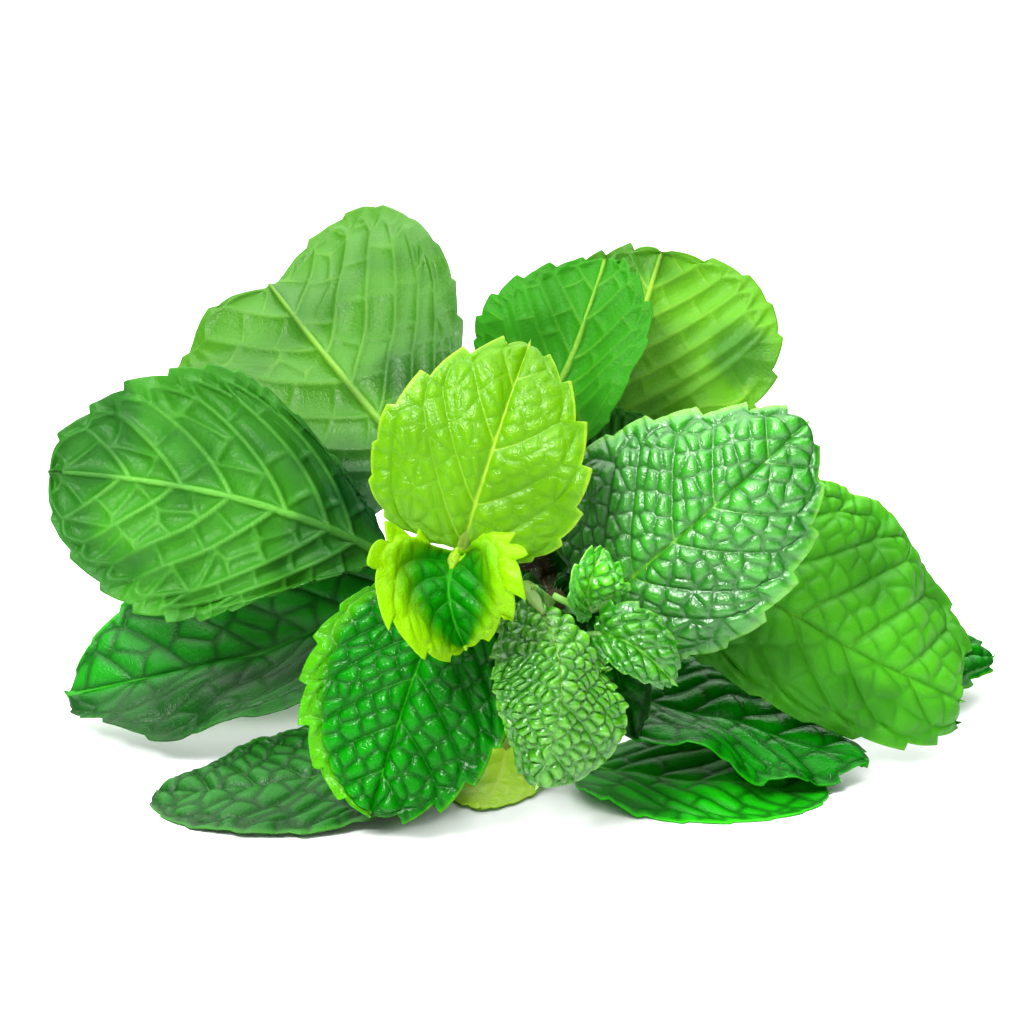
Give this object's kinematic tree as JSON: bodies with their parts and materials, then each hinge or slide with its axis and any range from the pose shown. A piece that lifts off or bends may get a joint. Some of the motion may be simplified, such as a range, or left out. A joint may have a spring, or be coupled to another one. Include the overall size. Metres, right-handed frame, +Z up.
{
  "type": "spearmint sprig",
  "caption": "Freshly picked leafy herb sprig: a short square stem with side shoots and broad, wrinkled, toothed leaves, lying on a surface.",
  "frame": {"origin": "on the surface the sprig lies on, under the middle of its outer box", "axes": "+X to the right seen from the leafy front, +Y towards the cut end of the stem at the back, +Z up from the surface"},
  "size_m": [0.1238, 0.0946, 0.0641],
  "materials": {
    "stem": "satin green skin tinted red-brown, with fine pale hairs",
    "leaf_young": "thin, yellow-green, lit through, softly glossy",
    "leaf_fresh": "mid green, wrinkled, pale raised veins below, satin",
    "leaf_grown": "deep green, quilted and glossy above",
    "leaf_old": "dark green, coarse wrinkles, greyish sheen"
  },
  "bodies": {
    "root": {"stem": "stem", "leaf_front_bright": "leaf_young", "leaf_front_cupped": "leaf_young", "leaf_front_left": "leaf_grown", "leaf_front_folded": "leaf_fresh", "leaf_right_glossy": "leaf_grown", "leaf_right_large": "leaf_grown", "leaf_left_large": "leaf_fresh", "leaf_back_left": "leaf_fresh", "leaf_back_middle": "leaf_grown", "leaf_back_right": "leaf_fresh", "leaf_left_low": "leaf_old", "leaf_floor_left": "leaf_old", "leaf_right_arched": "leaf_grown", "leaf_floor_right": "leaf_old", "leaf_right_hidden": "leaf_fresh", "leaf_young_upper": "leaf_fresh", "leaf_young_lower": "leaf_fresh", "leaf_back_small": "leaf_old", "leaf_floor_front": "leaf_fresh", "leaf_left_hidden": "leaf_fresh"}
  },
  "joints": []
}
